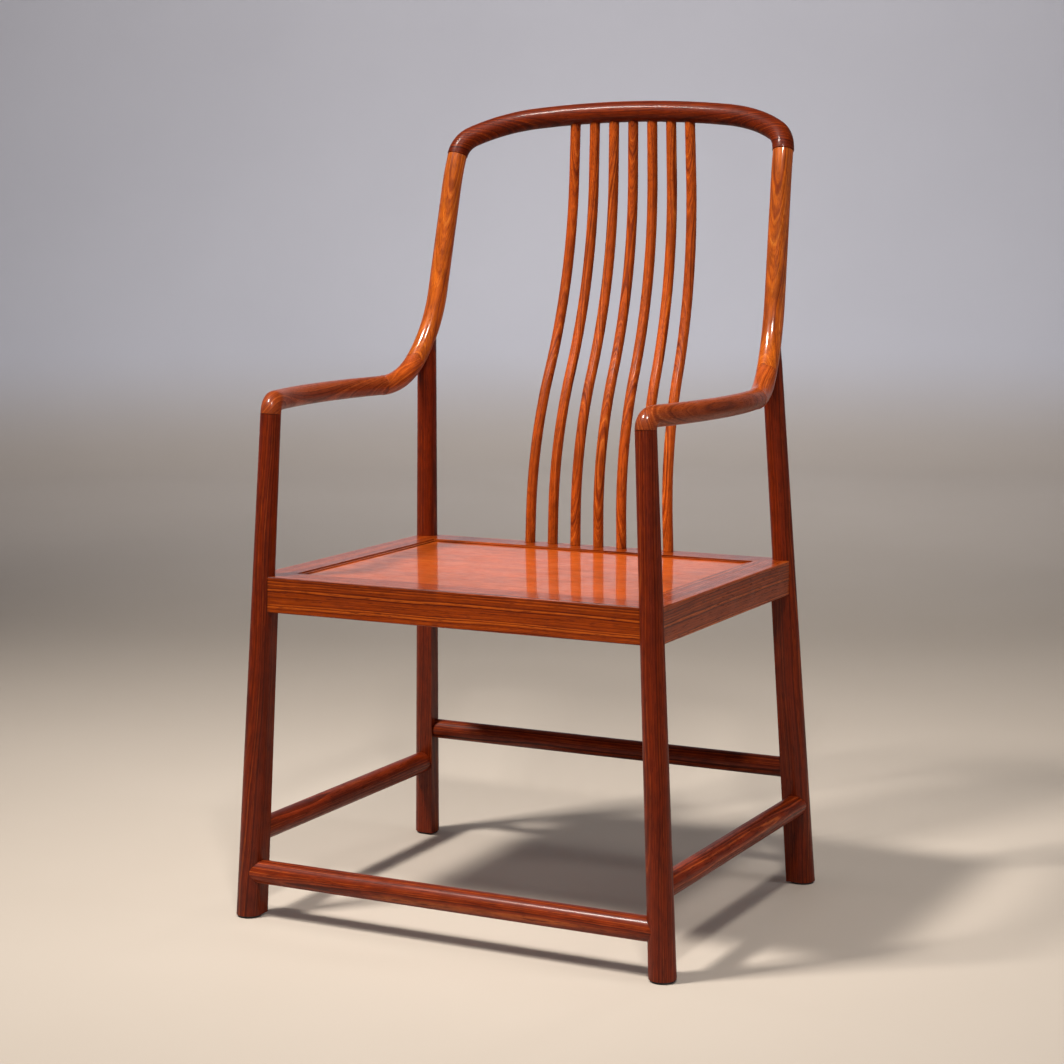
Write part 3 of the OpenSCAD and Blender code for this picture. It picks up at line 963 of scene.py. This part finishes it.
@dataclass
class ArmAndBack:
    """The continuous line of round bars: arms, elbows, stiles and crest rail.

    Widths are across the chair between centrelines, and depths are measured back from the front feet.

    Attributes:
        bench: What the bars are made with.
        foot_front_y: Where the middle of the front feet is, in the frame.
        stance_w: Width between the front feet.
        arm_h: Height of the arms.
        arm_r: Radius of the arms.
        arm_front_w: Width between the arms, just behind their front corners.
        arm_back_w: Width between the arms' back ends.
        arm_front_y: Depth of the place just behind an arm's front corner.
        arm_back_y: Depth of an arm's back end.
        toe_in: Angle by which an arm's back end turns in.
        corner_in: How far the bend at the front corner reaches past the arm's radius.
        stile_r: Radius of the elbows and the stiles.
        elbow_r: Radius of the elbow's bend.
        elbow_sweep: Angle of that bend.
        low_r: Radius of the stile's lower curve.
        low_sweep: Angle of that curve.
        straight: Length of the stile's straight run.
        top_r: Radius of the stile's upper curve.
        top_sweep: Angle of that curve.
        crest_r: Radius of the crest rail.
        crest_corner_in: Inside radius of its corners.
        shoulder_r: Radius of its shoulders, next to the corners.
        shoulder_sweep: Angle of a shoulder.
        crest_sweep: Angle of half of its middle arc.
        crest_tilt: Angle between its plane and the floor.
        peg_r: Radius of the round tenons.
        peg_l: Length of the round tenons.
        arm_pith: Distance from an arm to its log's centre.
        elbow_pith: The same for an elbow.
        stile_pith: The same for a stile.
        crest_pith: The same for the crest rail.
        facets: Number of facets round each bar.
        bow_r: Radius of the crest rail's middle arc, worked out.
        crest_mid: Middle of the crest rail, worked out.
    """

    bench: Bench
    foot_front_y: float
    stance_w: float = 591 * MM
    arm_h: float = 673.5 * MM
    arm_r: float = 13.25 * MM
    arm_front_w: float = 530 * MM
    arm_back_w: float = 556 * MM
    arm_front_y: float = 34 * MM
    arm_back_y: float = 325 * MM
    toe_in: float = 10.5
    corner_in: float = 1.8 * MM
    stile_r: float = 13.75 * MM
    elbow_r: float = 97 * MM
    elbow_sweep: float = 47.0
    low_r: float = 208 * MM
    low_sweep: float = 30.5
    straight: float = 148 * MM
    top_r: float = 324 * MM
    top_sweep: float = 8.5
    crest_r: float = 14.5 * MM
    crest_corner_in: float = 26 * MM
    shoulder_r: float = 170 * MM
    shoulder_sweep: float = 32.0
    crest_sweep: float = 10.0
    crest_tilt: float = 36.5
    peg_r: float = 5.5 * MM
    peg_l: float = 10 * MM
    arm_pith: float = 0.07
    elbow_pith: float = 0.06
    stile_pith: float = 0.05
    crest_pith: float = 0.06
    facets: int = 48
    bow_r: float = field(init=False)
    crest_mid: Vector = field(init=False)

    # Longest steps along the arcs
    CORNER_RING = 1.2 * MM
    ARM_RING = 4 * MM
    ELBOW_RING = 2.5 * MM
    CREST_CORNER_RING = 1.8 * MM
    CREST_RING = 3.5 * MM

    def __post_init__(self) -> None:
        """Works out the paths of the right side."""
        self.rise = Vector((0.0, cos_of(self.crest_tilt), sin_of(self.crest_tilt)))
        self.arm_path = self._arm()
        self.elbow_path = self._elbow()
        self.stile_path = self._stile()
        self.crest_half = self._crest_half()

    def _arm(self) -> Path:
        """The arm's centreline: a turned-down front corner and a bow in plan.

        Returns:
            The path from front to back.
        """
        start = Vector((self.arm_front_w / 2, self.foot_front_y + self.arm_front_y, self.arm_h))
        end = Vector((self.arm_back_w / 2, self.foot_front_y + self.arm_back_y, self.arm_h))
        chord = end - start
        turn = 2 * (math.degrees(math.atan2(chord.x, chord.y)) + self.toe_in)
        bow = chord.length / (2 * sin_of(turn / 2))
        heading = Vector((sin_of(turn - self.toe_in), cos_of(turn - self.toe_in), 0.0))
        inward = Vector((-heading.y, heading.x, 0.0))
        run = self.arm_r + self.corner_in
        corner = start - heading * run
        lean = (corner - Vector((self.stance_w / 2, self.foot_front_y, 0.0))).normalized()
        drop = math.degrees(lean.angle(heading))
        path = Path([corner - lean * run], lean, self.CORNER_RING)
        path.arc(square_to(lean, heading), run / math.tan(math.radians(drop / 2)), drop)
        path.ring = self.ARM_RING
        return path.arc(inward, bow, turn)

    def _elbow(self) -> Path:
        """The elbow's centreline.

        Returns:
            The path from the arm up to the stile.
        """
        end = Vector((self.arm_back_w / 2, self.foot_front_y + self.arm_back_y, self.arm_h))
        heading = Vector((-sin_of(self.toe_in), cos_of(self.toe_in), 0.0))
        return Path([end], heading, self.ELBOW_RING).arc(UP, self.elbow_r, self.elbow_sweep)

    def _stile(self) -> Path:
        """The stile's centreline: lower curve, straight run, and a curve back at the top.

        Returns:
            The path from the elbow up to the crest rail.
        """
        path = self.elbow_path.split()
        inward = self.elbow_path.inward(UP, self.elbow_sweep)
        path.arc(inward, self.low_r, self.low_sweep)
        back = -path.inward(inward, self.low_sweep)
        return path.run(self.straight).arc(back, self.top_r, self.top_sweep)

    def _crest_half(self) -> Path:
        """Right half of the crest rail's centreline: corner, shoulder and middle arc.

        Returns:
            The path from the stile's top to the middle.
        """
        steep = self.crest_sweep + self.shoulder_sweep
        along = -RIGHT * cos_of(steep) + self.rise * sin_of(steep)
        down = -RIGHT * sin_of(steep) - self.rise * cos_of(steep)
        path = self.stile_path.split()
        turn = math.degrees(path.heading.angle(along))
        path.ring = self.CREST_CORNER_RING
        path.arc(square_to(path.heading, along), self.crest_r + self.crest_corner_in, turn)
        path.heading = along
        path.ring = self.CREST_RING
        path.arc(down, self.shoulder_r, self.shoulder_sweep)
        self.bow_r = path.end.x / sin_of(self.crest_sweep)
        path.arc(path.inward(down, self.shoulder_sweep), self.bow_r, self.crest_sweep)
        self.crest_mid = path.end.copy()
        return path

    def crest_at(self, x: float) -> Vector:
        """A point on the crest rail's middle arc.

        Args:
            x: How far from the middle.

        Returns:
            The point on the centreline.
        """
        drop = self.bow_r - math.sqrt(self.bow_r ** 2 - x * x)
        return Vector((x, self.crest_mid.y, self.crest_mid.z)) - self.rise * drop

    def build(self) -> None:
        """Sweeps the seven bars."""
        bar = self.bench.bar
        for side in Side:
            word = side.word
            arm = mirrored(self.arm_path.points, side)
            elbow = mirrored(self.elbow_path.points, side)
            stile = mirrored(self.stile_path.points, side)
            bar(f"arm_{word}", arm, self.arm_r, BarEnds(), ARM_WOOD, self.arm_pith, self.facets)
            pegged = BarEnds(self.peg_r, self.peg_l, self.peg_l)
            bar(f"elbow_{word}", lengthened(elbow, self.peg_l, self.peg_l), self.stile_r, pegged,
                ELBOW_WOOD_AND_LIGHT, self.elbow_pith, self.facets)
            topped = BarEnds(self.peg_r, 0.0, self.peg_l)
            bar(f"stile_{word}", lengthened(stile, 0.0, self.peg_l), self.stile_r, topped,
                STILE_WOOD, self.stile_pith, self.facets)
        half = self.crest_half.points
        whole = half + [mirror_point(point) for point in reversed(half[:-1])]
        bar("crest_rail", whole, self.crest_r, BarEnds(), CREST_WOOD_AND_SHADE, self.crest_pith, self.facets)


def mirror_point(point: Vector) -> Vector:
    """The same point on the chair's other side."""
    return Vector((-point.x, point.y, point.z))


def mirrored(points: list[Vector], side: Side) -> list[Vector]:
    """A right-hand path, on the side that is asked for.

    Args:
        points: The path on the right.
        side: The side.

    Returns:
        The path's points.
    """
    if side is Side.RIGHT:
        return [point.copy() for point in points]
    return [mirror_point(point) for point in points]


def lengthened(points: list[Vector], first: float, last: float) -> list[Vector]:
    """A path with a straight run added at each end, for a tenon.

    Args:
        points: The path.
        first: Length added before its start.
        last: Length added after its end.

    Returns:
        The longer path.
    """
    made = list(points)
    if first > 0:
        made.insert(0, points[0] + (points[0] - points[1]).normalized() * first)
    if last > 0:
        made.append(points[-1] + (points[-1] - points[-2]).normalized() * last)
    return made


@dataclass
class Spindles:
    """The seven bent spindles between the seat and the crest rail.

    Attributes:
        bench: What the spindles are made with.
        back: The bars of the arms and back, whose crest rail holds them.
        count: Number of spindles.
        radius: Radius of a spindle.
        pitch: Distance between two spindles at the seat.
        top_pitch: Distance between two spindles at the crest rail.
        inset: How far they stand in front of the rear rail's back face.
        foot: Length of the straight run above the seat.
        head: Length of the straight run up to the crest rail's centreline.
        low_share: Share of the bent part's height that the lower curve takes.
        pin_r: Radius of the tenons.
        pin_l: Length of the lower tenon.
        cope: How far the upper shoulder lies inside the crest rail's surface.
        pith: Distance from a spindle to its log's centre.
        facets: Number of facets round a spindle.
    """

    bench: Bench
    back: ArmAndBack
    count: int = 7
    radius: float = 7.2 * MM
    pitch: float = 35.4 * MM
    top_pitch: float = 29.1 * MM
    inset: float = 10 * MM
    foot: float = 40 * MM
    head: float = 88 * MM
    low_share: float = 0.42
    pin_r: float = 4.5 * MM
    pin_l: float = 14 * MM
    cope: float = 2.6 * MM
    pith: float = 0.035
    facets: int = 32

    def path(self, place: int) -> list[Vector]:
        """One spindle's centreline: straight, bent back, bent upright again, straight.

        Args:
            place: How many places from the middle, to the right.

        Returns:
            The points, tenons included.
        """
        seat_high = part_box("seat_rail_rear")[1]
        low = Vector((place * self.pitch, seat_high.y - self.inset, seat_high.z))
        high = self.back.crest_at(place * self.top_pitch)
        upright = Vector((high.x - low.x, 0.0, high.z - low.z)).normalized()
        rise = (high - low).dot(upright) - self.foot - self.head
        turn = math.degrees(2 * math.atan2(high.y - low.y, rise))
        path = Path([low - upright * self.pin_l], upright)
        path.run(self.pin_l).run(self.foot)
        low_r = self.low_share * rise / sin_of(turn)
        path.arc(BACK, low_r, turn)
        path.arc(-path.inward(BACK, turn), (1 - self.low_share) * rise / sin_of(turn), turn)
        path.heading = upright
        return path.run(self.head).points

    def build(self) -> None:
        """Sweeps the spindles, whose upper tenon starts just inside the crest rail."""
        ends = BarEnds(self.pin_r, self.pin_l, self.back.crest_r - self.cope)
        middle = self.count // 2
        for place in range(-middle, middle + 1):
            name = f"spindle_{place + middle + 1}"
            self.bench.bar(name, self.path(place), self.radius, ends, SPINDLE_WOOD, self.pith, self.facets)


@dataclass
class Legs:
    """The four legs and the pads under them.

    Attributes:
        bench: What the legs are dressed with.
        pith: Distance from a leg to its log's centre.
        front_lean: Direction of the right front leg's grain.
        rear_lean: Direction of the right rear leg's grain.
    """

    bench: Bench
    pith: float = 0.05
    front_lean: Vector = Vector((-0.045, 0.05, 1.0))
    rear_lean: Vector = Vector((-0.05, -0.08, 1.0))

    def build(self) -> None:
        """Dresses the legs along their own slopes, and the pads."""
        rubber = PadRubber().material()
        for side in Side:
            for row, lean in (("front", self.front_lean), ("rear", self.rear_lean)):
                grain = lean if side is Side.RIGHT else mirror_point(lean)
                self.bench.dress(f"{row}_leg_{side.word}", LEG_WOOD, grain, self.pith)
                pad = f"foot_pad_{row}_{side.word}"
                give_finish(pad, rubber)
                LOG.info("%s: dressed in rubber", pad)


@dataclass
class Seat:
    """The mitred seat frame, its floating panel and the battens under it.

    Attributes:
        bench: What the seat is dressed with.
        rail_pith: Distance from a rail or a batten to its log's centre.
        panel_pith: Distance from the panel to its log's centre.
    """

    bench: Bench
    rail_pith: float = 0.16
    panel_pith: float = 0.22

    def build(self) -> None:
        """Dresses the rails, the panel and the battens, each along its length."""
        dress = self.bench.dress
        dress("seat_rail_front", RAIL_WOOD, Grain.ACROSS.value, self.rail_pith)
        dress("seat_rail_rear", RAIL_WOOD, Grain.ACROSS.value, self.rail_pith)
        dress("seat_panel", PANEL_WOOD, Grain.ACROSS.value, self.panel_pith)
        for side in Side:
            dress(f"seat_rail_{side.word}", RAIL_WOOD, Grain.FORWARD.value, self.rail_pith)
            dress(f"seat_batten_{side.word}", RAIL_WOOD, Grain.FORWARD.value, self.rail_pith)


@dataclass
class Stretchers:
    """The four low rails between the legs.

    Attributes:
        bench: What the stretchers are dressed with.
        pith: Distance from a stretcher to its log's centre.
    """

    bench: Bench
    pith: float = 0.045

    def build(self) -> None:
        """Dresses each stretcher along its length."""
        for row in ("front", "rear"):
            self.bench.dress(f"{row}_stretcher", STRETCHER_WOOD_AND_SHEEN, Grain.ACROSS.value, self.pith)
        for side in Side:
            self.bench.dress(f"side_stretcher_{side.word}", STRETCHER_WOOD_AND_SHEEN, Grain.FORWARD.value, self.pith)


# ---- Studio


@dataclass(frozen=True)
class StudioPaint:
    """Matt pale paint with faint roller marks, warm on the floor and cooler up the wall.

    Attributes:
        floor: The two tones of the floor.
        wall: The two tones of the wall.
        marks: The roller marks.
        blend_h: Height over which the floor's tones become the wall's.
        haze: Roughness.
    """

    floor: tuple[Colour, Colour] = ((0.45, 0.39, 0.33), (0.49, 0.43, 0.37))
    wall: tuple[Colour, Colour] = ((0.55, 0.54, 0.57), (0.60, 0.59, 0.62))
    marks: Fleck = Fleck(1.4, 1.0, 4.0)
    blend_h: float = 0.4
    haze: float = 0.7

    def material(self) -> bpy.types.Material:
        """The paint's material.

        Returns:
            The material.
        """
        made, sheet = blank_material("studio_paint")
        place = sheet.add("ShaderNodeTexCoord").outputs["Object"]
        marks = sheet.noise(place, self.marks)
        floor, wall = (
            sheet.blend(marks, (*first, 1.0), (*second, 1.0)) for first, second in (self.floor, self.wall)
        )
        height = sheet.add("ShaderNodeSeparateXYZ", {0: place}).outputs["Z"]
        colour = sheet.blend(sheet.spread(height, 0.0, self.blend_h), floor, wall)
        shader = sheet.add("ShaderNodeBsdfPrincipled", {"Base Color": colour, "Roughness": self.haze})
        sheet.add("ShaderNodeOutputMaterial", {"Surface": shader.outputs[0]})
        return made


@dataclass(frozen=True)
class Lamp:
    """One soft light.

    Attributes:
        name: Its name.
        place: Where it stands.
        width: Its width.
        height: Its height.
        power: Its power in watts.
        spread: Angle that it lights.
        colour: Its colour.
        target: What it is aimed at, where that isn't the chair.
        mirrored: Whether polished surfaces show it.
    """

    name: str
    place: Place
    width: float
    height: float
    power: float
    spread: float
    colour: Colour
    target: Place | None = None
    mirrored: bool = False


@dataclass
class Studio:
    """The pale floor that curves up all round, the lamps, and the camera.

    Attributes:
        aim: The point that the camera faces, and each lamp with no target of its own.
        floor_r: Radius of the flat floor.
        cove_r: Radius of the curve from the floor to the wall.
        wall_h: Height of the wall above that curve.
        around: Number of facets round the floor.
        cove_step: Longest facet on the curve.
        azimuth: Angle of the camera from the chair's front, towards its right.
        elevation: Angle of the camera above the aim.
        roll: Turn of the camera about its own axis.
        distance: From the aim to the camera.
        lens: Focal length, in millimetres.
        sensor: Width of the camera's sensor, in millimetres.
        shift_x: The lens's sideways shift.
        sky: Colour of the sky.
        sky_power: Strength of the sky.
    """

    aim: Vector
    floor_r: float = 5.2
    cove_r: float = 1.6
    wall_h: float = 5.0
    around: int = 96
    cove_step: float = 0.12
    azimuth: float = 27.3
    elevation: float = 7.76
    roll: float = -0.15
    distance: float = 3.157
    lens: float = 80.09
    sensor: float = 36.0
    shift_x: float = 0.0085
    sky: Colour = (0.75, 0.77, 0.82)
    sky_power: float = 0.08

    # Where rings of facets lie on the flat floor, as shares of its radius
    FLOOR_RINGS = (0.25, 0.5, 0.75)
    LAMPS = (
        Lamp("key", (-1.2, -1.45, 3.4), 0.5, 0.5, 36.0, 80.0, (1.0, 0.95, 0.88), mirrored=True),
        Lamp("second", (1.0, -1.8, 3.1), 0.35, 0.35, 13.0, 80.0, (1.0, 0.96, 0.9), mirrored=True),
        Lamp("right_fill", (2.8, 0.3, 1.9), 0.6, 1.4, 7.5, 110.0, (0.98, 0.97, 0.98)),
        Lamp("left_fill", (-3.0, 0.0, 1.6), 0.5, 1.4, 3.0, 110.0, (1.0, 0.98, 0.96)),
        Lamp("back_fill", (0.8, 3.0, 2.2), 0.6, 0.6, 4.0, 110.0, (1.0, 0.98, 0.96)),
        Lamp("top", (0.0, -0.2, 3.0), 0.5, 0.4, 2.0, 90.0, (1.0, 0.96, 0.92)),
        Lamp("rear_wall", (-0.6, 2.2, 4.2), 1.2, 0.6, 80.0, 110.0, (0.97, 0.97, 1.0), (-2.6, 5.6, 0.9)),
        Lamp("front_wall", (0.6, -2.2, 4.2), 1.2, 0.6, 45.0, 110.0, (0.98, 0.98, 1.0), (2.6, -5.6, 0.9)),
        Lamp("left_wall", (-2.2, -0.4, 4.2), 0.6, 1.2, 30.0, 110.0, (0.98, 0.98, 1.0), (-5.9, -1.5, 0.9)),
        Lamp("right_wall", (2.2, 0.4, 4.2), 0.6, 1.2, 45.0, 110.0, (0.98, 0.98, 1.0), (5.9, 1.5, 0.9)),
    )

    def build(self) -> None:
        """Builds the whole studio."""
        self._cyclorama()
        self._world()
        for lamp in self.LAMPS:
            self._lamp(lamp)
        self._camera()
        LOG.info("studio: floor, %d lamps and camera", len(self.LAMPS))

    def _cyclorama(self) -> bpy.types.Object:
        """A round floor that curves up into a wall on every side.

        Returns:
            The floor.
        """
        profile = [Vector((self.floor_r * share, 0.0, 0.0)) for share in self.FLOOR_RINGS]
        cove = Path([Vector((self.floor_r, 0.0, 0.0))], RIGHT, self.cove_step).arc(UP, self.cove_r, 90.0)
        profile += cove.run(self.wall_h).points
        points = [Vector((0.0, 0.0, 0.0))]
        for step in range(self.around):
            turn = Quaternion(UP, math.tau * step / self.around)
            points += [turn @ point for point in profile]
        rows = len(profile)
        faces = []
        for step in range(self.around):
            here = 1 + step * rows
            there = 1 + (step + 1) % self.around * rows
            faces.append((0, here, there))
            faces += [(here + i, here + i + 1, there + i + 1, there + i) for i in range(rows - 1)]
        mesh = bpy.data.meshes.new("studio_floor")
        mesh.from_pydata(points, [], faces)
        mesh.shade_smooth()
        mesh.materials.append(StudioPaint().material())
        return add_object("studio_floor", mesh)

    def _world(self) -> None:
        """A dim even sky above the walls."""
        world = bpy.data.worlds.new("studio_sky")
        world.use_nodes = True
        glow = world.node_tree.nodes["Background"]
        glow.inputs[0].default_value = (*self.sky, 1.0)
        glow.inputs[1].default_value = self.sky_power
        bpy.context.scene.world = world

    def _lamp(self, lamp: Lamp) -> None:
        """Hangs one lamp and aims it.

        Args:
            lamp: What to hang.
        """
        data = bpy.data.lights.new(lamp.name, "AREA")
        data.shape = "RECTANGLE"
        data.size = lamp.width
        data.size_y = lamp.height
        data.energy = lamp.power
        data.spread = math.radians(lamp.spread)
        data.color = lamp.colour
        hung = add_object(lamp.name, data)
        hung.location = lamp.place
        hung.visible_glossy = lamp.mirrored
        target = Vector(lamp.target) if lamp.target else self.aim
        hung.rotation_euler = (target - Vector(lamp.place)).to_track_quat("-Z", "Y").to_euler()

    def _camera(self) -> None:
        """Sets the camera at three-quarter view, a little above the seat."""
        away = Vector((sin_of(self.azimuth) * cos_of(self.elevation),
                       -cos_of(self.azimuth) * cos_of(self.elevation), sin_of(self.elevation)))
        side = Vector((cos_of(self.azimuth), sin_of(self.azimuth), 0.0))
        over = away.cross(side)
        across = side * cos_of(self.roll) + over * sin_of(self.roll)
        upward = over * cos_of(self.roll) - side * sin_of(self.roll)
        data = bpy.data.cameras.new("camera")
        data.lens = self.lens
        data.sensor_width = self.sensor
        data.shift_x = self.shift_x
        camera = add_object("camera", data)
        turned = Matrix((across, upward, away)).transposed().to_4x4()
        camera.matrix_world = Matrix.Translation(self.aim + away * self.distance) @ turned
        bpy.context.scene.camera = camera
        bpy.context.scene.view_settings.view_transform = "Standard"


def main() -> None:
    """Builds the studio and the chair, one sub-assembly after another."""
    logging.basicConfig(level=logging.INFO, format="%(message)s")
    low, high = CAD_BOX
    Studio(aim=(low + high) / 2 + Vector(AIM_OFFSET)).build()
    bench = Bench(WoodShop(), BarSweep())
    pad_low, pad_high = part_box("foot_pad_front_right")
    back = ArmAndBack(bench, foot_front_y=(pad_low.y + pad_high.y) / 2)
    for assembly in (back, Spindles(bench, back), Legs(bench), Seat(bench), Stretchers(bench)):
        assembly.build()


if __name__ == "__main__":
    main()
